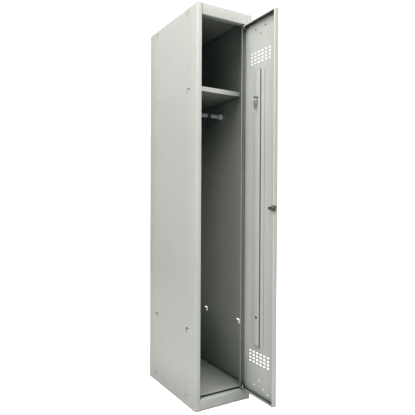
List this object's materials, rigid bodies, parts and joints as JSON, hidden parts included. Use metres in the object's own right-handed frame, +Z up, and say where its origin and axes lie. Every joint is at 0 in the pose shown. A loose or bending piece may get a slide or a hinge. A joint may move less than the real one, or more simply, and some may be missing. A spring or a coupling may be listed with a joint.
{
  "type": "locker cabinet",
  "caption": "Tall single-door steel locker with a hat shelf, hanging rail with sliding coat hooks, ventilated door on pivot pins and a cam lock.",
  "frame": {"origin": "on the floor at the middle of the back edge of the cabinet", "axes": "+Z up along the height, +X to the right seen from the front, +Y to the back, so the door opening faces -Y; the door stands open at a right angle"},
  "size_m": [0.3, 0.727, 1.83],
  "materials": {
    "powder_coat": "light grey semi-gloss powder coat with a slight orange-peel texture",
    "galvanised_steel": "bright zinc-plated steel",
    "nickel_plate": "bright nickel plate",
    "brass": "dull plated brass",
    "white_plastic": "off-white moulded nylon",
    "dark_plastic": "blue-black moulded plastic",
    "rubber": "black rubber"
  },
  "bodies": {
    "carcass": {"left_side_panel": "powder_coat", "right_side_panel": "powder_coat", "back_panel": "powder_coat", "roof_panel": "powder_coat", "floor_panel": "powder_coat", "header_rail": "powder_coat", "plinth_rail": "powder_coat", "hat_shelf": "powder_coat", "hanging_rail": "galvanised_steel", "left_rail_socket": "white_plastic", "right_rail_socket": "white_plastic", "upper_door_buffer": "rubber", "lower_door_buffer": "rubber", "upper_hinge_pin": "galvanised_steel", "lower_hinge_pin": "galvanised_steel"},
    "left_hook": {"coat_hook_left": "dark_plastic"},
    "middle_hook": {"coat_hook_middle": "dark_plastic"},
    "right_hook": {"coat_hook_right": "dark_plastic"},
    "door": {"door_panel": "powder_coat", "door_stiffener": "powder_coat", "upper_hinge_bushing": "white_plastic", "lower_hinge_bushing": "white_plastic", "label_holder": "dark_plastic", "lock_barrel": "nickel_plate", "lock_nut": "brass", "key_peg": "dark_plastic", "stiffener_plug": "dark_plastic"},
    "lock_core": {"lock_plug": "nickel_plate", "lock_cam": "galvanised_steel", "lock_cam_screw": "galvanised_steel"},
    "ring": {"key_ring": "nickel_plate"},
    "first_key": {"key_one": "nickel_plate"},
    "second_key": {"key_two": "nickel_plate"}
  },
  "joints": [
    {"name": "door_hinge", "type": "hinge", "parent": "carcass", "child": "door", "pos_m": [0.114, -0.491, 0], "axis": [0, 0, 1], "range_deg": [-90, 15]},
    {"name": "lock_turn", "type": "hinge", "parent": "door", "child": "lock_core", "pos_m": [0.1225, -0.705, 0.9155], "axis": [-1, 0, 0], "range_deg": [0, 180]},
    {"name": "left_hook_slide", "type": "slide", "parent": "carcass", "child": "left_hook", "axis": [1, 0, 0], "range_m": [-0.03, 0.035]},
    {"name": "middle_hook_slide", "type": "slide", "parent": "carcass", "child": "middle_hook", "axis": [1, 0, 0], "range_m": [-0.016, 0.045]},
    {"name": "right_hook_slide", "type": "slide", "parent": "carcass", "child": "right_hook", "axis": [1, 0, 0], "range_m": [-0.029, 0.057]},
    {"name": "key_ring_swing", "type": "hinge", "parent": "door", "child": "ring", "pos_m": [0.1005, -0.5945, 1.418], "axis": [1, 0, 0], "range_deg": [-30, 30]},
    {"name": "key_one_swing", "type": "hinge", "parent": "ring", "child": "first_key", "pos_m": [0.1005, -0.59625, 1.3993], "axis": [0, 1, 0], "range_deg": [-8, 60]},
    {"name": "key_two_swing", "type": "hinge", "parent": "ring", "child": "second_key", "pos_m": [0.1005, -0.59275, 1.3993], "axis": [0, 1, 0], "range_deg": [-8, 60]}
  ]
}
